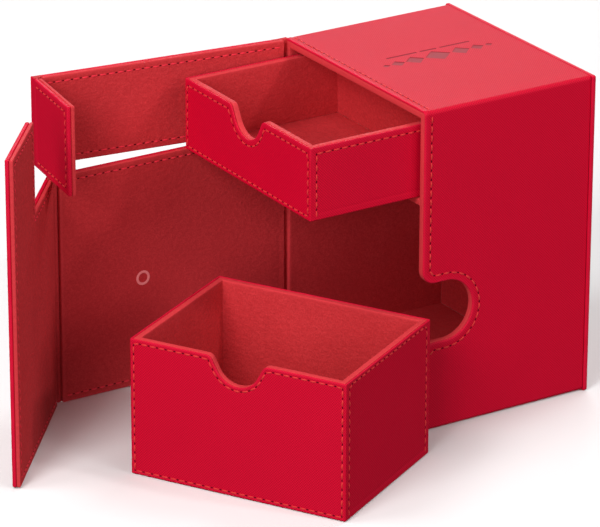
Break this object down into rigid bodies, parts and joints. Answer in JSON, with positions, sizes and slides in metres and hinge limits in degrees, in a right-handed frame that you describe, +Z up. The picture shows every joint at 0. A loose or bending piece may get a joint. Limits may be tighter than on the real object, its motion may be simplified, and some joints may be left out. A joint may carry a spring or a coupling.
{
  "type": "card deck box",
  "caption": "Leatherette card box with an open-front case, a removable card tray, a dice drawer and a split wrap-over magnetic cover.",
  "frame": {"origin": "middle of the case's underside", "axes": "+Z up, the open front of the case faces -Y, +X towards the side wall with the thumb notch"},
  "size_m": [0.1792, 0.2579, 0.144],
  "materials": {
    "leatherette": "fine embossed crimson leatherette",
    "lining": "grained brick-red microfibre lining",
    "greyboard": "pressed grey cardboard",
    "magnet_steel": "nickel-plated disc magnets"
  },
  "bodies": {
    "case": {"back_panel_board": "greyboard", "back_panel_skin": "leatherette", "case_back_board": "greyboard", "case_back_lining": "lining", "case_base_skin": "leatherette", "case_bottom_board": "greyboard", "case_floor_lining": "lining", "case_left_board": "greyboard", "case_left_lining": "lining", "case_outer_wrap": "leatherette", "case_right_board": "greyboard", "case_right_lining": "lining", "case_top_board": "greyboard", "case_top_lining": "lining", "case_wall_magnets": "magnet_steel", "shelf_board": "greyboard", "shelf_wrap": "lining"},
    "dice_drawer": {"drawer_back_board": "greyboard", "drawer_base_skin": "leatherette", "drawer_floor_board": "greyboard", "drawer_floor_lining": "lining", "drawer_front_board": "greyboard", "drawer_left_board": "greyboard", "drawer_outer_skin": "leatherette", "drawer_right_board": "greyboard", "drawer_wall_lining": "lining"},
    "card_tray": {"tray_back_board": "greyboard", "tray_base_skin": "leatherette", "tray_floor_board": "greyboard", "tray_floor_lining": "lining", "tray_front_board": "greyboard", "tray_left_board": "greyboard", "tray_outer_skin": "leatherette", "tray_right_board": "greyboard", "tray_wall_lining": "lining"},
    "upper_cover": {"upper_crease_strip": "leatherette", "upper_panel_board": "greyboard", "upper_panel_lining": "lining", "upper_panel_skin": "leatherette"},
    "upper_flap": {"upper_flap_board": "greyboard", "upper_flap_lining": "lining", "upper_flap_magnet": "magnet_steel", "upper_flap_skin": "leatherette", "upper_flap_strip": "leatherette"},
    "lower_cover": {"lower_crease_strip": "leatherette", "lower_panel_board": "greyboard", "lower_panel_lining": "lining", "lower_panel_skin": "leatherette"},
    "lower_flap": {"lower_flap_board": "greyboard", "lower_flap_lining": "lining", "lower_flap_magnets": "magnet_steel", "lower_flap_skin": "leatherette", "lower_flap_strip": "leatherette"}
  },
  "joints": [
    {"name": "upper_cover_swing", "type": "hinge", "parent": "case", "child": "upper_cover", "pos_m": [-0.05475, -0.04695, 0.124], "axis": [0, 0, -1], "range_deg": [-8, 170.7]},
    {"name": "upper_flap_fold", "type": "hinge", "parent": "upper_cover", "child": "upper_flap", "pos_m": [-0.06911, -0.15903, 0.124], "axis": [0, 0, 1], "range_deg": [-89.6, 5]},
    {"name": "lower_cover_swing", "type": "hinge", "parent": "case", "child": "lower_cover", "pos_m": [-0.05475, -0.04695, 0.052], "axis": [0, 0, -1], "range_deg": [-15, 177.7]},
    {"name": "lower_flap_fold", "type": "hinge", "parent": "lower_cover", "child": "lower_flap", "pos_m": [-0.05534, -0.15995, 0.052], "axis": [0, 0, 1], "range_deg": [-50.5, 28]},
    {"name": "dice_drawer_slide", "type": "slide", "parent": "case", "child": "dice_drawer", "axis": [0, -1, 0], "range_m": [-0.05215, 0.026]},
    {"name": "card_tray_slide", "type": "slide", "parent": "case", "child": "card_tray", "axis": [0, -1, 0], "range_m": [-0.015, 0.05]}
  ]
}
